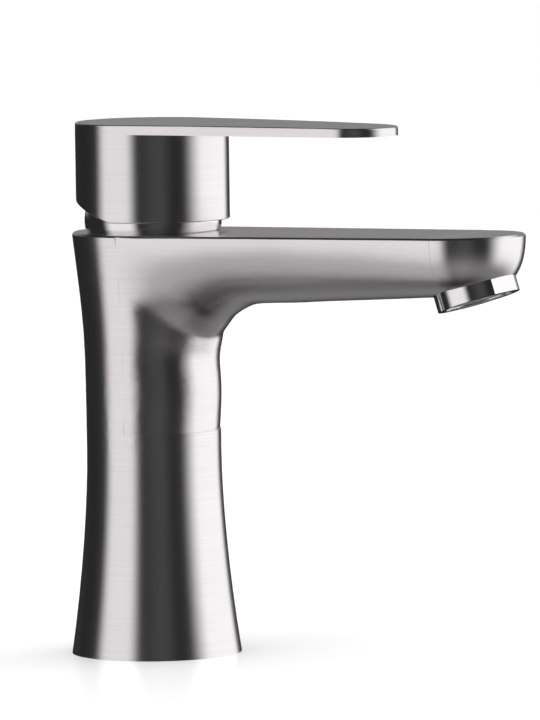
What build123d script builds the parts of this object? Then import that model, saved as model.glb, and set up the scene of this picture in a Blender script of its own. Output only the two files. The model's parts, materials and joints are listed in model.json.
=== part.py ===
from build123d import *
import math
import os

os.makedirs("parts", exist_ok=True)

# All sizes in mm. Origin: centre of the base on the deck. +X spout, +Z up, -Y hot, +Y cold.

# Column and spout
BASE_R = 25.0
WAIST_R = 19.72
WAIST_Z = 60.0
FLARE = 0.119
FLARE_Z = 95.0
TOP_Z = 124.4
SPOUT_RISE = 0.013
NOSE_X = 103.0
NOSE_R = 19.4
RIM = 0.6
UNDER_Z = 103.9
UNDER_SLOPE = 0.058
THROAT_X = 36.5
THROAT_Z = 82.5
WALL = 2.5
SPOUT_WALL = 2.0
SEAM = 0.8
MERGE = 0.02
FRONT_X = 1.5
FRONT_Z = 66.0

# Well for the 35 mm cartridge
CART_X = 0.8
WELL_R = 18.0
NUT_BORE_R = 19.0
WELL_Z = 92.0
SEAT_Z = 102.0
CART_R = 17.5
SHOULDER_Z = 117.0

# Handle
PIVOT_Z = 126.4
CAP_R = 22.6
CAP_IN_R = 21.0
CAP_BOTTOM_Z = 128.0
HANDLE_TOP_Z = 156.7
PLATE_T = 2.8
LEVER_TIP_X = 80.7
LEVER_TIP_R = 13.7
LEVER_DROOP = 0.6
BACK_CUT_X = -2.1
BACK_CUT_DEG = 18.8

# Aerator, tilted forward
AER_X = 109.4
AER_Z = 106.5
AER_R = 12.2
AER_TILT = 17.6

# Supply
PORT_X = -3.0
PORT_Y = 7.5
STUD_X = -12.5
M10_BORE_R = 4.45
M8_BORE_R = 3.4
BASE_T = 17.0


def column_r(z):
    low = (BASE_R - WAIST_R) * max(0.0, 1.0 - z / WAIST_Z) ** 1.7
    high = FLARE * (math.hypot(z - FLARE_Z, 10.0) + z - FLARE_Z) / 2.0
    return WAIST_R + low + high


TAPER = (column_r(TOP_Z) - NOSE_R) / NOSE_X
JOIN_X = NOSE_X + NOSE_R * math.sin(math.atan(TAPER))


def top_z(x):
    return TOP_Z - MERGE + SPOUT_RISE * (x - FRONT_X)


def spout_w(x):
    return NOSE_R * math.hypot(1.0, TAPER) + TAPER * (NOSE_X - x)


def under_z(x):
    return UNDER_Z + UNDER_SLOPE * (x - THROAT_X)


def cyl(r, z0, z1, x=0.0, y=0.0):
    return Pos(x, y, z0) * Cylinder(r, z1 - z0, align=(Align.CENTER, Align.CENTER, Align.MIN))


def tube(r_out, r_in, z0, z1, x=0.0, y=0.0):
    return cyl(r_out, z0, z1, x, y) - cyl(r_in, z0 - 1.0, z1 + 1.0, x, y)


def block(x0, x1, y0, y1, z0, z1):
    size = Box(x1 - x0, y1 - y0, z1 - z0)
    return Pos((x0 + x1) / 2, (y0 + y1) / 2, (z0 + z1) / 2) * size


def ring(major, minor, z):
    return Pos(0, 0, z) * Torus(major, minor)


def along_x(r, x0, x1, y=0.0, z=0.0):
    return Pos((x0 + x1) / 2, y, z) * Rot(0, 90, 0) * Cylinder(r, x1 - x0)


def along_y(r, y0, y1, x=0.0, z=0.0):
    return Pos(x, (y0 + y1) / 2, z) * Rot(90, 0, 0) * Cylinder(r, y1 - y0)


def aerator_place(shape):
    return Pos(AER_X, 0, AER_Z) * Rot(0, -AER_TILT, 0) * shape


def fan_section(x, z, theta, apex, wide, half, lean=0.0, full=0.0):
    c = math.cos(math.radians(theta))
    s = math.sin(math.radians(theta))
    plane = Plane(origin=(x, 0, z), x_dir=(-c, 0, s), z_dir=(-s, 0, -c))
    rise = (0.5523 + 0.09 * full) * (wide - apex)
    side = (0.5523 + 0.25 * full) * half
    end = wide + 5.0
    tip = half + lean * 5.0
    pts = [(apex, 0), (apex, side), (wide - rise, half - lean * rise), (wide, half)]
    right = Bezier(*[plane.from_local_coords(p) for p in pts])
    left = Bezier(*[plane.from_local_coords((p[0], -p[1])) for p in reversed(pts)])
    corners = [plane.from_local_coords(p) for p in [(wide, half), (end, tip), (end, -tip), (wide, -half)]]
    return Wire([right, Line(*corners[:2]), Line(*corners[1:3]), Line(*corners[2:]), left])


def column_section(z):
    r = column_r(z) - MERGE
    return fan_section(THROAT_X, z, 0, THROAT_X - r, THROAT_X, r)


def neck_section(theta):
    c = math.cos(math.radians(theta))
    s = math.sin(math.radians(theta))
    r0 = THROAT_X - column_r(THROAT_Z)
    r1 = UNDER_Z - THROAT_Z
    apex = r0 + (r1 - r0) * theta / 90.0 + MERGE
    t_col = THROAT_X / max(0.01, c)
    t_top = (TOP_Z + SEAM - THROAT_Z) / max(0.01, s)
    wide = min(t_col, t_top)
    z = THROAT_Z + wide * s
    if t_col < t_top:
        lean = (column_r(z + 0.5) - column_r(z - 0.5)) * s
        return fan_section(THROAT_X, THROAT_Z, theta, apex, wide, column_r(z) - MERGE, lean)
    return fan_section(THROAT_X, THROAT_Z, theta, apex, wide, spout_w(THROAT_X - wide * c) - MERGE)


def spout_section(x, inset=0.0):
    full = (max(0.0, x - THROAT_X) / (JOIN_X - THROAT_X)) ** 2
    half = spout_w(x) - MERGE - inset
    return fan_section(x, 0.0, 90, under_z(x) + inset, top_z(x) + SEAM, half, full=full)


def under_top(x1, drop):
    pts = [(0, 60), (0, top_z(0) - drop), (x1, top_z(x1) - drop), (x1, 60)]
    face = make_face(Plane.XZ * Polyline(*pts, close=True))
    return extrude(face, amount=40, both=True)


def rim_cutter(side):
    run = Vector(1.0, -side * TAPER, SPOUT_RISE)
    out = Vector(0.0, side, 1.0)
    corner = (FRONT_X, side * (spout_w(FRONT_X) - MERGE - RIM), top_z(FRONT_X))
    plane = Plane(origin=corner, x_dir=run, z_dir=out - run * (out.dot(run) / run.dot(run)))
    return plane * (Pos(55, 0, 5) * Box(140, 30, 10))


def nose():
    low = under_z(JOIN_X) + 3 * MERGE
    top = top_z(JOIN_X) - MERGE
    wide = top + SEAM
    r = NOSE_R - 4 * MERGE
    belly = Bezier((0, low), (0.8023 * r, low), (r, wide - 0.6423 * (wide - low)), (r, wide))
    upright = Line((r, wide), (r, wide + 4))
    lid = Line((r, wide + 4), (0, wide + 4))
    bowl = revolve(Plane.XZ * make_face([belly, upright, lid, Line((0, wide + 4), (0, low))]), Axis.Z)
    cap = [(0, 90), (r + 5, 90), (r + 5, top - RIM - 5), (r - RIM, top), (0, top)]
    bowl = bowl & revolve(Plane.XZ * make_face(Polyline(*cap, close=True)), Axis.Z)
    slope = math.degrees(math.atan(SPOUT_RISE))
    tilted = Pos(0, 0, top) * Rot(0, -slope, 0) * Pos(0, 0, -top) * bowl
    return (Pos(NOSE_X, 0, 0) * tilted) & block(JOIN_X, 140, -40, 40, 90, 140)


def column(inset, z0, z1, rim=0.0):
    steps = 16
    ze = z1 - rim
    zs = [z0 + (ze - z0) * i / steps for i in range(steps + 1)]
    curve = Spline(*[(column_r(z) - inset, 0, z) for z in zs])
    r0 = column_r(z0) - inset
    r1 = column_r(ze) - inset
    pts = [(r1, 0, ze), (r1 - rim, 0, z1), (0, 0, z1), (0, 0, z0), (r0, 0, z0)]
    lines = [Edge.make_line(a, b) for a, b in zip(pts[:-1], pts[1:]) if a != b]
    return revolve(Face(Wire([curve.edge()] + lines)), Axis.Z)


def body_outer():
    sections = [column_section(THROAT_Z - drop) for drop in (36, 24, 12)]
    sections += [neck_section(theta) for theta in (0, 15, 30, 42, 54, 66, 78, 90)]
    sections += [spout_section(x) for x in (46, 58, 72, 86, 100, 114, 128)]
    front = Solid.make_loft(sections, ruled=False) & under_top(140, 0.0)
    front = front & block(FRONT_X, JOIN_X, -40, 40, FRONT_Z, 140)
    for side in (-1, 1):
        front -= rim_cutter(side)
    back = column(0.0, 0.0, TOP_Z, RIM) - block(FRONT_X, 40, -40, 40, FRONT_Z, 140)
    return back + front + nose()


def body_casting():
    body = body_outer()
    hollow = Solid.make_loft([spout_section(x, SPOUT_WALL) for x in (22, 40, 60, 78, 94)])
    hollow = hollow & under_top(140, SPOUT_WALL)
    body -= hollow
    body -= column(WALL, BASE_T - 1.0, WELL_Z - 3.0)
    body -= cyl(BASE_R - 4.0, -1.0, BASE_T)
    body -= tube(23.8, 22.2, -1.0, 1.6)
    body -= cyl(WELL_R, WELL_Z, TOP_Z + 1, CART_X)
    body -= cyl(NUT_BORE_R, SHOULDER_Z, TOP_Z + 1, CART_X)
    body -= cyl(20.4, TOP_Z, TOP_Z + 2, CART_X)
    for side in (-1, 1):
        body -= cyl(5.0, WELL_Z - 4.0, WELL_Z + 1.0, PORT_X + CART_X, side * PORT_Y)
    lift = Vector(16, 0, 13.5)
    body -= Solid.make_cylinder(3.0, lift.length, Plane(origin=(16.5, 0, 98.5), z_dir=lift))
    body -= along_x(3.3, 91, 106, 0, 120.2)
    body -= aerator_place(cyl(12.45, -20, 8.8))
    body -= aerator_place(cyl(13.2, 8.8, 13.5))
    body -= aerator_place(cyl(9.0, 13.0, 15.0))
    return body


def base_insert():
    part = cyl(BASE_R - 4.0, 0.0, BASE_T)
    part = chamfer(part.faces().sort_by(Axis.Z)[0].outer_wire().edges(), 0.6)
    for side in (-1, 1):
        part -= cyl(M10_BORE_R, -1, 9.1, PORT_X + CART_X, side * PORT_Y)
        part -= cyl(5.0, 9.0, 30.0, PORT_X + CART_X, side * PORT_Y)
    part -= cyl(M8_BORE_R, -1, 14.0, STUD_X, 0)
    for angle in (35, 145, 215, 325):
        c = 17.0 * math.cos(math.radians(angle))
        s = 17.0 * math.sin(math.radians(angle))
        part -= cyl(1.6, -1, 5.0, c, s)
    return part


def base_gasket():
    return tube(23.8, 22.2, 0.0, 1.6)


def riser(side):
    return tube(5.0, 3.6, 9.0, WELL_Z + 4.0, PORT_X, side * PORT_Y)


def valve_seat():
    part = cyl(WELL_R - 0.05, WELL_Z, SEAT_Z)
    for side in (-1, 1):
        part -= cyl(5.0, WELL_Z - 1, WELL_Z + 4.0, PORT_X, side * PORT_Y)
        part -= cyl(3.2, WELL_Z + 3, SEAT_Z + 1, PORT_X, side * PORT_Y)
    part -= cyl(3.2, 98.5, SEAT_Z + 1, 7.0, 0)
    part -= cyl(3.0, 97.5, 98.6, 7.0, 0)
    part -= along_x(3.0, 7.0, 20.0, 0, 98.5)
    part -= tube(WELL_R + 1, WELL_R - 1.2, 93.2, 94.8)
    return part


def seat_seal():
    return tube(WELL_R, WELL_R - 1.2, 93.2, 94.8)


def port_seals():
    part = cyl(13.0, SEAT_Z, SEAT_Z + 1.0)
    for side in (-1, 1):
        part -= cyl(3.0, SEAT_Z - 1, SEAT_Z + 2, PORT_X, side * PORT_Y)
    part -= cyl(3.0, SEAT_Z - 1, SEAT_Z + 2, 7.0, 0)
    return part


def cartridge_base():
    part = cyl(15.0, SEAT_Z, SEAT_Z + 5.5) + tube(CART_R, 14.9, SEAT_Z, SEAT_Z + 1.2)
    part -= cyl(13.0, SEAT_Z - 1, SEAT_Z + 1.0)
    part -= cyl(13.1, SEAT_Z + 3.5, SEAT_Z + 6)
    for side in (-1, 1):
        part -= cyl(3.0, SEAT_Z, SEAT_Z + 5, PORT_X, side * PORT_Y)
    part -= cyl(3.0, SEAT_Z, SEAT_Z + 5, 7.0, 0)
    return part


def fixed_disc():
    part = cyl(13.0, SEAT_Z + 3.5, SEAT_Z + 6.5)
    for side in (-1, 1):
        part -= cyl(2.8, SEAT_Z, SEAT_Z + 8, PORT_X, side * PORT_Y)
    part -= cyl(2.8, SEAT_Z, SEAT_Z + 8, 7.0, 0)
    return part


def moving_disc():
    z0 = SEAT_Z + 6.52
    part = cyl(10.5, z0, z0 + 2.2, -2.2, 0)
    part -= cyl(3.6, z0 - 1, z0 + 1.2, 1.5, 0)
    return part


def disc_carrier():
    z0 = SEAT_Z + 8.72
    part = cyl(11.0, z0, 115.9, -2.2, 0)
    part -= cyl(20, 112.9, 117, 0, 0) - block(-9, 9, -4.6, 4.6, 112, 118)
    part -= block(-2.75, 2.75, -3.3, 3.3, z0 + 0.7, 117)
    return part


def cartridge_housing():
    part = cyl(CART_R, SEAT_Z + 1.2, SHOULDER_Z) + cyl(15.9, SHOULDER_Z, TOP_Z + 0.4)
    part -= cyl(15.1, SEAT_Z, 119.2)
    part -= cyl(9.5, 119, 130)
    for angle in (60, 180, 300):
        c = 17.6 * math.cos(math.radians(angle))
        s = 17.6 * math.sin(math.radians(angle))
        part -= cyl(1.0, SEAT_Z, SHOULDER_Z - 4.0, c, s)
    return part


def cartridge_nut():
    part = tube(NUT_BORE_R - 0.05, 16.0, SHOULDER_Z, TOP_Z - 0.2)
    for angle in range(0, 360, 60):
        part -= Rot(0, 0, angle) * block(16.9, 20, -1.6, 1.6, TOP_Z - 2.4, TOP_Z + 1)
    return part


def trim_ring():
    pts = [(19.7, TOP_Z), (20.15, TOP_Z + 2.6), (20.05, TOP_Z + 5.2), (19.6, TOP_Z + 7.1)]
    curve = Spline(*[(r, 0, z) for r, z in pts])
    inner = [(19.6, TOP_Z + 7.1), (17.2, TOP_Z + 7.1), (17.2, TOP_Z + 2.6)]
    inner += [(18.2, TOP_Z + 2.6), (18.2, TOP_Z), (19.7, TOP_Z)]
    lines = [Edge.make_line((a[0], 0, a[1]), (b[0], 0, b[1])) for a, b in zip(inner[:-1], inner[1:])]
    return revolve(Face(Wire([curve.edge()] + lines)), Axis.Z)


def trim_seal():
    return ring(17.25, 0.9, TOP_Z + 1.3)


def stop_ring():
    part = tube(13.2, 9.7, TOP_Z + 0.4, TOP_Z + 3.0)
    for angle in range(0, 360, 15):
        part -= Rot(0, 0, angle + 7.5) * block(12.7, 14, -0.6, 0.6, TOP_Z, TOP_Z + 4)
    return part


def rotor():
    part = cyl(15.0, 116.2, 119.15) + cyl(9.4, 119, 130.6)
    rails = tube(15.0, 12.4, 111.2, 116.4) - block(-16, 16, -11.3, 11.3, 110, 116.2)
    part += rails
    slot = [(-5.6, 131), (-3.4, 126.4), (-3.4, 110), (8.4, 110), (8.4, 116.2), (4.4, 124.6)]
    slot += [(3.4, 127.0), (3.4, 131)]
    part -= extrude(make_face(Plane.XZ * Polyline(*slot, close=True)), amount=3.3, both=True)
    part -= along_y(1.5, -9.5, 9.5, 0, PIVOT_Z)
    return part


def pivot_pin():
    return along_y(1.5, -9.0, 9.0, 0, PIVOT_Z)


def cartridge_stem():
    part = block(-3.0, 3.0, -3.0, 3.0, 117, 133) + block(-4.0, 4.0, -4.0, 4.0, 133, 152)
    part += block(-2.0, 2.0, -3.0, 3.0, 114.4, 118) + along_y(2.5, -3.0, 3.0, 0, 114.4)
    part -= along_y(1.56, -5, 5, 0, PIVOT_Z)
    return part


def lever_plan(z0, z1):
    far = LEVER_TIP_X - LEVER_TIP_R
    turn = math.asin((CAP_R - LEVER_TIP_R) / far)
    s, c = math.sin(turn), math.cos(turn)
    a = (CAP_R * s, CAP_R * c)
    b = (far + LEVER_TIP_R * s, LEVER_TIP_R * c)
    nose = ThreePointArc(b, (LEVER_TIP_X, 0), (b[0], -b[1]))
    back = ThreePointArc((a[0], -a[1]), (-CAP_R, 0), a)
    outline = Wire([Line(a, b).edge(), nose.edge(), Line((b[0], -b[1]), (a[0], -a[1])).edge(), back.edge()])
    return extrude(Pos(0, 0, z0) * Face(outline), amount=z1 - z0, dir=(0, 0, 1))


def lever_handle():
    low = HANDLE_TOP_Z - PLATE_T
    flat_x = 15.0
    mid_x = (flat_x + LEVER_TIP_X) / 2
    tip = HANDLE_TOP_Z - LEVER_DROOP
    mid = HANDLE_TOP_Z - LEVER_DROOP * 0.25
    top_arc = ThreePointArc((flat_x, HANDLE_TOP_Z), (mid_x, mid), (LEVER_TIP_X + 2, tip)).edge()
    t2 = PLATE_T - 0.3
    low_arc = ThreePointArc((LEVER_TIP_X + 2, tip - t2), (mid_x, mid - PLATE_T), (flat_x, low)).edge()
    left = -CAP_R - 5
    top_line = Line((left, HANDLE_TOP_Z), (flat_x, HANDLE_TOP_Z)).edge()
    nose = Line((LEVER_TIP_X + 2, tip), (LEVER_TIP_X + 2, tip - t2)).edge()
    low_line = Line((flat_x, low), (left, low)).edge()
    close = Line((left, low), (left, HANDLE_TOP_Z)).edge()
    profile = Wire([top_line, top_arc, nose, low_arc, low_line, close])
    band = extrude(Plane.XZ * Face(profile), amount=40, both=True)
    plate = lever_plan(low - 3, HANDLE_TOP_Z + 2) & band
    cap = cyl(CAP_R, CAP_BOTTOM_Z, low + 0.5)
    handle = plate + cap
    handle -= cyl(CAP_IN_R, CAP_BOTTOM_Z - 1, low)
    cut = Pos(BACK_CUT_X, 0, CAP_BOTTOM_Z) * Rot(0, BACK_CUT_DEG, 0) * block(-60, 0, -40, 40, -30, 0)
    handle -= cut
    rim = [e for e in handle.edges() if e.bounding_box().min.Z > low + 2.0]
    handle = fillet([e for e in rim if abs(e.center().X - flat_x) > 0.01], 0.5)
    foot = [e for e in handle.edges() if e.bounding_box().max.Z < 136 and e.length > 20]
    handle = fillet([e for e in foot if max(abs(p.Y) for p in (e @ 0, e @ 0.5, e @ 1)) > CAP_IN_R + 0.5], 0.4)
    handle -= along_x(2.7, -30, -18, 0, 143.5)
    return handle


def handle_hub():
    part = cyl(9.0, 138.2, HANDLE_TOP_Z - PLATE_T)
    part += block(-CAP_IN_R + 0.2, CAP_IN_R - 0.2, -1.5, 1.5, 147, HANDLE_TOP_Z - PLATE_T)
    part += block(-1.5, 1.5, -CAP_IN_R + 0.2, CAP_IN_R - 0.2, 147, HANDLE_TOP_Z - PLATE_T)
    part -= block(-4.0, 4.0, -4.0, 4.0, 137, 152)
    part -= along_x(2.5, -30, -3, 0, 143.5)
    return part


def grub_screw():
    part = along_x(2.5, -9.6, -4.0, 0, 143.5)
    part -= Pos(-9.7, 0, 143.5) * Rot(0, 90, 0) * extrude(RegularPolygon(1.25, 6), amount=2.5)
    return part


def index_plug():
    return along_x(2.7, -30, -20.3, 0, 143.5) & cyl(CAP_R, 130, 150)


def outlet_socket():
    return aerator_place(tube(13.2, 11.3, 8.8, 13.5))


def aerator_housing():
    part = cyl(AER_R, 0, 8.6) + cyl(11.2, 8.6, 12.4)
    part -= cyl(9.9, -1, 14)
    part += tube(10.2, 8.6, 0.6, 1.6)
    flats = block(11.65, 20, -6, 6, -1, 4.4) + block(-20, -11.65, -6, 6, -1, 4.4)
    part -= Rot(0, 0, -20) * flats
    return aerator_place(part)


def aerator_insert():
    part = tube(9.8, 8.4, 1.7, 10.4)
    part += cyl(9.0, 5.0, 6.0)
    for row in range(-3, 4):
        for col in range(-3, 4):
            x = row * 2.4 + (col % 2) * 1.2
            y = col * 2.1
            if math.hypot(x, y) < 7.4:
                part -= cyl(0.8, 4, 7, x, y)
    return aerator_place(part)


def aerator_screen():
    part = cyl(8.4, 2.2, 2.6)
    for row in range(-3, 4):
        for col in range(-3, 4):
            if math.hypot(row * 2.1, col * 2.1) < 7.2:
                part -= Pos(row * 2.1, col * 2.1, 0) * block(-0.85, 0.85, -0.85, 0.85, 1, 4)
    return aerator_place(part)


def aerator_gasket():
    return aerator_place(tube(11.1, 8.6, 12.4, 13.45))


PARTS = {
    "body_casting": body_casting,
    "base_insert": base_insert,
    "base_gasket": base_gasket,
    "hot_riser": lambda: riser(-1),
    "cold_riser": lambda: riser(1),
    "valve_seat": valve_seat,
    "seat_seal": seat_seal,
    "port_seals": port_seals,
    "cartridge_base": cartridge_base,
    "fixed_disc": fixed_disc,
    "cartridge_housing": cartridge_housing,
    "cartridge_nut": cartridge_nut,
    "trim_ring": trim_ring,
    "trim_seal": trim_seal,
    "stop_ring": stop_ring,
    "outlet_socket": outlet_socket,
    "aerator_housing": aerator_housing,
    "aerator_insert": aerator_insert,
    "aerator_screen": aerator_screen,
    "aerator_gasket": aerator_gasket,
    "rotor": rotor,
    "pivot_pin": pivot_pin,
    "moving_disc": moving_disc,
    "disc_carrier": disc_carrier,
    "cartridge_stem": cartridge_stem,
    "lever_handle": lever_handle,
    "handle_hub": handle_hub,
    "grub_screw": grub_screw,
    "index_plug": index_plug,
}

FIXED = ["body_casting", "base_insert", "base_gasket", "outlet_socket"]

for name, build in PARTS.items():
    shape = build()
    if name not in FIXED and not name.startswith("aerator"):
        shape = Pos(CART_X, 0, 0) * shape
    solids = shape.solids()
    print(name, len(solids), round(sum(s.volume for s in solids), 1), shape.is_valid)
    export_step(shape, "parts/" + name + ".step")
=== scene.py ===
import json
import math

import bpy
from mathutils import Matrix, Vector


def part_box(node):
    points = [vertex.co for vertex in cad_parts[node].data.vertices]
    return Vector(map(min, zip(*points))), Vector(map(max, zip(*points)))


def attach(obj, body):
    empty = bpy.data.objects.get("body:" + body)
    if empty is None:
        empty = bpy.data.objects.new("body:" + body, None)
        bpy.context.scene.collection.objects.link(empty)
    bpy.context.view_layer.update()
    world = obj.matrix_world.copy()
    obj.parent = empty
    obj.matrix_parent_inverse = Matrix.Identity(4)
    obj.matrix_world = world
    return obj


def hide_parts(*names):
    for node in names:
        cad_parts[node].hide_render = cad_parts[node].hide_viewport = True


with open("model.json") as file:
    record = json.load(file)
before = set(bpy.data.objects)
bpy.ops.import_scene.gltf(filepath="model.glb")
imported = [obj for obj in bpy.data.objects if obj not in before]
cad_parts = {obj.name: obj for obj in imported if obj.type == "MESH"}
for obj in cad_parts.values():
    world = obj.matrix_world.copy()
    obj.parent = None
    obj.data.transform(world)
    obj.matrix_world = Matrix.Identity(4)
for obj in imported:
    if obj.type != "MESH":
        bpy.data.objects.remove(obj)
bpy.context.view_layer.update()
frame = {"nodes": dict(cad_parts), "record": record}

# Camera: places in metres, lens and sensor in millimetres, roll in degrees
CAM_PLACE = Vector((1.1753, -1.9667, 0.2813))
CAM_TARGET = Vector((0.0398, 0.0, 0.0875))
CAM_LENS = 390.5
CAM_SENSOR = 36.0
CAM_ROLL = 0.78
CAM_REACH = 50.0

# Outlet gauze, in metres and degrees
AERATOR_TILT = 17.6
GAUZE_R = 0.0083
WIRE_R = 0.00011
WIRE_PITCH = 0.0007
WIRE_SIDES = 6
STEPS_PER_PITCH = 6
LEAST_STEPS = 8

# Brushed metal: noise cells per metre, relief in metres
STREAKS_PER_M = 3400.0
CELLS_ALONG_STREAK = 25.0
SMUDGES_PER_M = (38.0, 38.0, 30.0)
GRAIN_SHARE = 0.7
GRAIN_DEPTH = 0.000004
WORN_DARKER = 0.95
BRUSHED_SWING = 0.025

# Moulded, cast and turned finishes: noise cells per metre, relief in metres
SPECKLES_PER_M = 900.0
DRIFTS_PER_M = 60.0
SPECKLE_SHARE = 0.6
SPECKLE_DEPTH = 0.00002
PLAIN_SWING = 0.05

# Hot and cold plug: noise cells per metre, widths in metres
PLUG_CELLS_PER_M = 1500.0
PLUG_EDGE = 0.00003
PLUG_WAVER = 0.00004
PLUG_LINE = (0.00012, 0.00016)
PLUG_LINE_COLOUR = (0.75, 0.75, 0.76)

# Studio lights, in degrees. Turn goes round the object from the camera's side, positive to the camera's
# right, and lift is above the horizon. Four angles say where a light starts, is full, fades and is gone.
BOX_LIFT = (-40.0, -14.0, 45.0, 65.0)
LEFT_BOX_TURN = (-94.0, -74.0, -40.0, -22.0)
RIGHT_BOX_TURN = (46.0, 82.0, 134.0, 152.0)
BENCH_TURN = (-115.0, -80.0, -50.0, -15.0)
BENCH_LIFT = (-85.0, -45.0, -40.0, -14.0)
GLOW_TURN = (-25.0, 8.0, 12.0, 35.0)
BEHIND_TURN = (130.0, 165.0)
BEHIND_LIFT = (-2.0, 2.0, 25.0, 45.0)
LEFT_BOX = 0.92
RIGHT_BOX = 1.18
BENCH_DIM = 0.2
BENCH_FULL = 0.46
GLOW = 0.045
BEHIND = 0.26
ROOM = 0.022
ROOM_COLOUR = (1.0, 0.99, 1.0, 1.0)
SUN_STRENGTH = 5.0
SUN_WIDTH = 110.0

# Floor and the white dome behind it, in metres
FLOOR_R = 6.0
FLOOR_COLOUR = (0.93, 0.93, 0.93, 1.0)
FLOOR_ROUGHNESS = 0.22
DOME_STRENGTH = 1.05


def add(tree, kind, inputs=None, **settings):
    """New node with its inputs linked or set, and its settings."""
    node = tree.nodes.new(kind)
    for key, value in settings.items():
        setattr(node, key, value)
    for key, value in (inputs or {}).items():
        if isinstance(value, bpy.types.NodeSocket):
            tree.links.new(value, node.inputs[key])
        else:
            node.inputs[key].default_value = value
    return node


def calc(tree, operation, a, b=0.0):
    return add(tree, "ShaderNodeMath", {0: a, 1: b}, operation=operation).outputs[0]


def shared(tree, a, b, share):
    """share of a and the rest of b."""
    return calc(tree, "ADD", calc(tree, "MULTIPLY", a, share), calc(tree, "MULTIPLY", b, 1.0 - share))


def ramp(tree, value, start, end, low=0.0, high=1.0):
    """value eased from low at start to high at end."""
    inputs = {"Value": value, "From Min": start, "From Max": end, "To Min": low, "To Max": high}
    return add(tree, "ShaderNodeMapRange", inputs, interpolation_type="SMOOTHSTEP").outputs["Result"]


def mix_colour(tree, factor, a, b):
    node = add(tree, "ShaderNodeMix", {"Factor": factor}, data_type="RGBA")
    for socket, value in ((node.inputs[6], a), (node.inputs[7], b)):
        if isinstance(value, bpy.types.NodeSocket):
            tree.links.new(value, socket)
        else:
            socket.default_value = (*value, 1.0)
    return node.outputs[2]


def noise(tree, coords, cells, detail=3.0):
    """Noise from 0 to 1 with cells[i] cells per metre along each axis."""
    mapped = add(tree, "ShaderNodeMapping", {"Vector": coords, "Scale": cells}).outputs["Vector"]
    inputs = {"Vector": mapped, "Scale": 1.0, "Detail": detail, "Roughness": 0.6}
    return add(tree, "ShaderNodeTexNoise", inputs).outputs["Fac"]


def new_material(name, metallic, roughness, **sockets):
    material = bpy.data.materials.new(name)
    material.use_nodes = True
    shader = material.node_tree.nodes["Principled BSDF"]
    shader.inputs["Metallic"].default_value = metallic
    shader.inputs["Roughness"].default_value = roughness
    for key, value in sockets.items():
        shader.inputs[key.replace("_", " ")].default_value = value
    return material, material.node_tree, shader


def vary_roughness(tree, shader, value, low, high, roughness, swing):
    """Roughness that falls by twice the swing as value goes from low to high."""
    rough = ramp(tree, value, low, high, roughness + swing, roughness - swing)
    tree.links.new(rough, shader.inputs["Roughness"])


def add_bump(tree, shader, height, depth):
    bump = add(tree, "ShaderNodeBump", {"Height": height, "Distance": depth, "Strength": 1.0})
    tree.links.new(bump.outputs["Normal"], shader.inputs["Normal"])


def brushed_metal(name, colour, roughness, anisotropy):
    """Metal brushed round its upright sides and along X on its flat faces."""
    material, tree, shader = new_material(name, 1.0, roughness, Anisotropic=anisotropy)
    coords = add(tree, "ShaderNodeTexCoord")
    place, facing = coords.outputs["Object"], coords.outputs["Normal"]
    upward = add(tree, "ShaderNodeSeparateXYZ", {0: facing}).outputs["Z"]
    flat = ramp(tree, calc(tree, "ABSOLUTE", upward), 0.7, 0.9)
    side_grain = noise(tree, place, (CELLS_ALONG_STREAK, CELLS_ALONG_STREAK, STREAKS_PER_M))
    flat_grain = noise(tree, place, (CELLS_ALONG_STREAK, STREAKS_PER_M, CELLS_ALONG_STREAK))
    grain = add(tree, "ShaderNodeMix", {"Factor": flat, 2: side_grain, 3: flat_grain}).outputs[0]
    smudge = noise(tree, place, SMUDGES_PER_M, detail=5.0)
    worn = shared(tree, grain, smudge, GRAIN_SHARE)
    dull = tuple(WORN_DARKER * c for c in colour)
    tree.links.new(mix_colour(tree, ramp(tree, worn, 0.3, 0.7), dull, colour), shader.inputs["Base Color"])
    vary_roughness(tree, shader, worn, 0.25, 0.75, roughness, BRUSHED_SWING)
    add_bump(tree, shader, grain, GRAIN_DEPTH)
    across = add(tree, "ShaderNodeCombineXYZ", {"X": 0.0, "Y": 0.02, "Z": 1.0}).outputs[0]
    turned = add(tree, "ShaderNodeVectorTransform", {0: across}, vector_type="VECTOR",
                 convert_from="OBJECT", convert_to="WORLD")
    tree.links.new(turned.outputs[0], shader.inputs["Tangent"])
    return material


def plain_finish(name, colour, roughness, metallic=0.0, contrast=0.12):
    """Moulded, cast or turned surface with fine speckle, slow colour drift and a little bump."""
    material, tree, shader = new_material(name, metallic, roughness)
    place = add(tree, "ShaderNodeTexCoord").outputs["Object"]
    fine = noise(tree, place, (SPECKLES_PER_M,) * 3)
    slow = noise(tree, place, (DRIFTS_PER_M,) * 3, detail=4.0)
    both = shared(tree, fine, slow, SPECKLE_SHARE)
    dark = tuple((1.0 - contrast) * c for c in colour)
    tree.links.new(mix_colour(tree, ramp(tree, both, 0.3, 0.7), dark, colour), shader.inputs["Base Color"])
    vary_roughness(tree, shader, both, 0.3, 0.7, roughness, PLAIN_SWING)
    add_bump(tree, shader, fine, SPECKLE_DEPTH)
    return material


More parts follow.
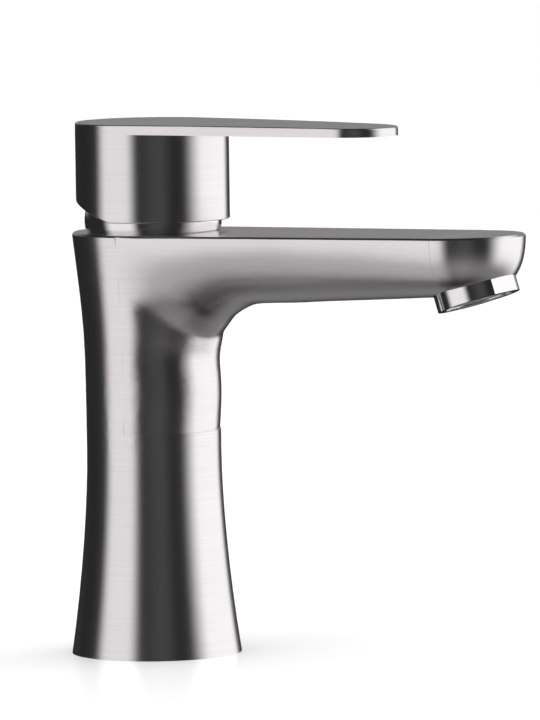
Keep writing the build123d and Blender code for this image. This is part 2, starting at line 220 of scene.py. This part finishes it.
def hot_cold_mark(name, hot, cold, roughness):
    """Moulded plug, hot on its -Y half and cold on its +Y half, with a fine pale line between."""
    material, tree, shader = new_material(name, 0.0, roughness, Coat_Weight=0.4)
    place = add(tree, "ShaderNodeTexCoord").outputs["Object"]
    across = add(tree, "ShaderNodeSeparateXYZ", {0: place}).outputs["Y"]
    fine = noise(tree, place, (PLUG_CELLS_PER_M,) * 3)
    waver = calc(tree, "MULTIPLY", calc(tree, "SUBTRACT", fine, 0.5), PLUG_WAVER)
    wavy = calc(tree, "ADD", across, waver)
    halves = mix_colour(tree, ramp(tree, wavy, -PLUG_EDGE, PLUG_EDGE), hot, cold)
    line = ramp(tree, calc(tree, "ABSOLUTE", wavy), *PLUG_LINE)
    tree.links.new(mix_colour(tree, line, PLUG_LINE_COLOUR, halves), shader.inputs["Base Color"])
    vary_roughness(tree, shader, fine, 0.3, 0.7, roughness, PLAIN_SWING)
    return material


def dress_nodes():
    """Give each CAD node the finish of its material slot."""
    for part in frame["record"]["subparts"]:
        node = frame["nodes"][part["node"]]
        for index in range(len(node.material_slots)):
            node.material_slots[index].link = "OBJECT"
            node.material_slots[index].material = FINISHES[part["material_slot"]]


def aerator_frame():
    """Where the middle of the gauze is, and how the aerator tilts forward."""
    low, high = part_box("aerator_screen")
    tilt = Matrix.Rotation(math.radians(-AERATOR_TILT), 4, "Y")
    return Matrix.Translation((low + high) / 2) @ tilt


def gauze_wire(verts, faces, offset, reach, along_y, phase):
    """One wavy wire of the gauze, as a closed tube."""
    start = len(verts)
    steps = max(LEAST_STEPS, int(2 * reach / (WIRE_PITCH / STEPS_PER_PITCH)))
    for i in range(steps + 1):
        t = -reach + 2 * reach * i / steps
        wave = WIRE_R * phase * math.cos(math.pi * t / WIRE_PITCH)
        for k in range(WIRE_SIDES):
            a = 2 * math.pi * k / WIRE_SIDES
            side = offset + WIRE_R * math.cos(a)
            up = wave + WIRE_R * math.sin(a)
            verts.append((side, t, up) if along_y else (t, side, up))
    for i in range(steps):
        for k in range(WIRE_SIDES):
            a = start + i * WIRE_SIDES + k
            b = start + i * WIRE_SIDES + (k + 1) % WIRE_SIDES
            quad = (a, b, b + WIRE_SIDES, a + WIRE_SIDES)
            faces.append(quad if along_y else quad[::-1])
    first = [start + k for k in range(WIRE_SIDES)]
    last = [start + steps * WIRE_SIDES + k for k in range(WIRE_SIDES)]
    for ring, flip in ((first, along_y), (last, not along_y)):
        faces.append(tuple(ring[::-1] if flip else ring))


def woven_gauze():
    """The outlet gauze: two sets of wires that pass over and under each other."""
    verts = []
    faces = []
    count = int(GAUZE_R / WIRE_PITCH)
    for n in range(-count, count + 1):
        offset = n * WIRE_PITCH
        reach = math.sqrt(max(0.0, GAUZE_R ** 2 - offset ** 2)) - WIRE_R
        phase = 1 if n % 2 else -1
        if reach > WIRE_PITCH:
            gauze_wire(verts, faces, offset, reach, True, phase)
            gauze_wire(verts, faces, offset, reach, False, -phase)
    mesh = bpy.data.meshes.new("outlet_gauze")
    mesh.from_pydata(verts, [], faces)
    mesh.transform(aerator_frame())
    mesh.shade_smooth()
    gauze = bpy.data.objects.new("outlet_gauze", mesh)
    bpy.context.scene.collection.objects.link(gauze)
    mesh.materials.append(FINISHES["screen"])
    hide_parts("aerator_screen")
    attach(gauze, "faucet_body")


def studio_world():
    """Two tall soft boxes, left and right of the camera, in a dim room with a pale bench below.

    A faint glow lies near the camera, and a low pale strip lies behind the object.
    """
    world = bpy.data.worlds.new("studio")
    bpy.context.scene.world = world
    world.use_nodes = True
    tree = world.node_tree
    backdrop = tree.nodes["Background"]
    ray = add(tree, "ShaderNodeTexCoord").outputs["Generated"]
    front = CAM_PLACE - CAM_TARGET
    front.z = 0.0
    front.normalize()
    right = Vector((-front.y, front.x, 0.0))
    ahead = add(tree, "ShaderNodeVectorMath", {0: ray, 1: front}, operation="DOT_PRODUCT").outputs["Value"]
    aside = add(tree, "ShaderNodeVectorMath", {0: ray, 1: right}, operation="DOT_PRODUCT").outputs["Value"]
    turn = calc(tree, "MULTIPLY", calc(tree, "ARCTAN2", aside, ahead), 180.0 / math.pi)
    up = add(tree, "ShaderNodeSeparateXYZ", {0: ray}).outputs["Z"]
    lift = calc(tree, "MULTIPLY", calc(tree, "ARCSINE", up), 180.0 / math.pi)

    def span(value, starts, full, fades, gone):
        rise = ramp(tree, value, starts, full)
        return calc(tree, "MULTIPLY", rise, ramp(tree, value, fades, gone, 1.0, 0.0))

    def light(region, strength):
        return calc(tree, "MULTIPLY", region, strength)

    tall = span(lift, *BOX_LIFT)
    left_box = calc(tree, "MULTIPLY", span(turn, *LEFT_BOX_TURN), tall)
    right_box = calc(tree, "MULTIPLY", span(turn, *RIGHT_BOX_TURN), tall)
    bench = ramp(tree, span(turn, *BENCH_TURN), 0.0, 1.0, BENCH_DIM, BENCH_FULL)
    bench = calc(tree, "MULTIPLY", span(lift, *BENCH_LIFT), bench)
    behind = ramp(tree, calc(tree, "ABSOLUTE", turn), *BEHIND_TURN)
    behind = calc(tree, "MULTIPLY", light(behind, BEHIND), span(lift, *BEHIND_LIFT))
    total = light(left_box, LEFT_BOX)
    for part in (light(right_box, RIGHT_BOX), bench, light(span(turn, *GLOW_TURN), GLOW), behind, ROOM):
        total = calc(tree, "ADD", total, part)
    tree.links.new(total, backdrop.inputs["Strength"])
    backdrop.inputs["Color"].default_value = ROOM_COLOUR


def studio_floor():
    """Pale floor under the object, which the metal doesn't reflect."""
    bpy.ops.mesh.primitive_circle_add(vertices=128, radius=FLOOR_R, fill_type="NGON")
    floor = bpy.context.object
    floor.name = "studio_floor"
    floor.visible_glossy = False
    floor.visible_shadow = False
    material, _, shader = new_material("floor_white", 0.0, FLOOR_ROUGHNESS)
    shader.inputs["Base Color"].default_value = FLOOR_COLOUR
    floor.data.materials.append(material)
    return floor


def studio_dome():
    """White background, which only the camera sees."""
    bpy.ops.mesh.primitive_uv_sphere_add(segments=64, ring_count=32, radius=FLOOR_R)
    dome = bpy.context.object
    dome.name = "studio_dome"
    for kind in ("visible_glossy", "visible_shadow", "visible_diffuse", "visible_transmission"):
        setattr(dome, kind, False)
    material = bpy.data.materials.new("dome_white")
    material.use_nodes = True
    tree = material.node_tree
    tree.nodes.remove(tree.nodes["Principled BSDF"])
    glow = add(tree, "ShaderNodeEmission", {"Color": (1.0, 1.0, 1.0, 1.0), "Strength": DOME_STRENGTH})
    tree.links.new(glow.outputs[0], tree.nodes["Material Output"].inputs["Surface"])
    dome.data.materials.append(material)
    return dome


def overhead_light():
    """Very wide soft light from above, not seen in reflections."""
    data = bpy.data.lights.new("overhead", "SUN")
    data.energy = SUN_STRENGTH
    data.angle = math.radians(SUN_WIDTH)
    lamp = bpy.data.objects.new("overhead", data)
    lamp.visible_glossy = False
    bpy.context.scene.collection.objects.link(lamp)


def camera():
    data = bpy.data.cameras.new("camera")
    data.lens = CAM_LENS
    data.sensor_width = CAM_SENSOR
    data.clip_end = CAM_REACH
    cam = bpy.data.objects.new("camera", data)
    bpy.context.scene.collection.objects.link(cam)
    aim = (CAM_TARGET - CAM_PLACE).to_track_quat("-Z", "Y").to_matrix()
    roll = Matrix.Rotation(math.radians(-CAM_ROLL), 3, "Z")
    cam.matrix_world = Matrix.Translation(CAM_PLACE) @ (aim @ roll).to_4x4()
    bpy.context.scene.camera = cam


STEEL = (0.80, 0.775, 0.785)
FINISHES = {
    "steel_body": brushed_metal("satin_steel_body", STEEL, 0.22, 0.35),
    "steel_handle": brushed_metal("satin_steel_handle", STEEL, 0.2, 0.35),
    "steel_trim": brushed_metal("bright_steel_trim", (0.86, 0.84, 0.85), 0.14, 0.3),
    "brass": plain_finish("turned_brass", (0.74, 0.50, 0.20), 0.3, 1.0),
    "copper_tube": plain_finish("copper_tube", (0.80, 0.40, 0.26), 0.32, 1.0),
    "seal": plain_finish("black_rubber", (0.022, 0.022, 0.024), 0.62, contrast=0.3),
    "cartridge_white": plain_finish("white_acetal", (0.80, 0.79, 0.76), 0.38, contrast=0.06),
    "cartridge_blue": plain_finish("blue_nylon", (0.06, 0.20, 0.52), 0.36),
    "stop_red": plain_finish("red_nylon", (0.60, 0.05, 0.04), 0.36),
    "ceramic": plain_finish("alumina_ceramic", (0.86, 0.85, 0.82), 0.12, contrast=0.04),
    "aerator_grey": plain_finish("grey_acetal", (0.36, 0.37, 0.39), 0.42),
    "screen": plain_finish("steel_gauze", (0.66, 0.66, 0.67), 0.3, 1.0),
    "pin_steel": plain_finish("ground_steel", (0.62, 0.62, 0.63), 0.24, 1.0),
    "hub_zinc": plain_finish("zinc_casting", (0.50, 0.50, 0.51), 0.45, 1.0),
    "screw_black": plain_finish("black_oxide", (0.035, 0.035, 0.04), 0.42, 1.0),
    "plug_red_blue": hot_cold_mark("two_tone_plug", (0.62, 0.03, 0.03), (0.03, 0.12, 0.55), 0.25),
}

camera()
studio_world()
floor = studio_floor()
dome = studio_dome()
overhead_light()
bpy.context.scene.view_settings.view_transform = "Standard"

dress_nodes()
woven_gauze()
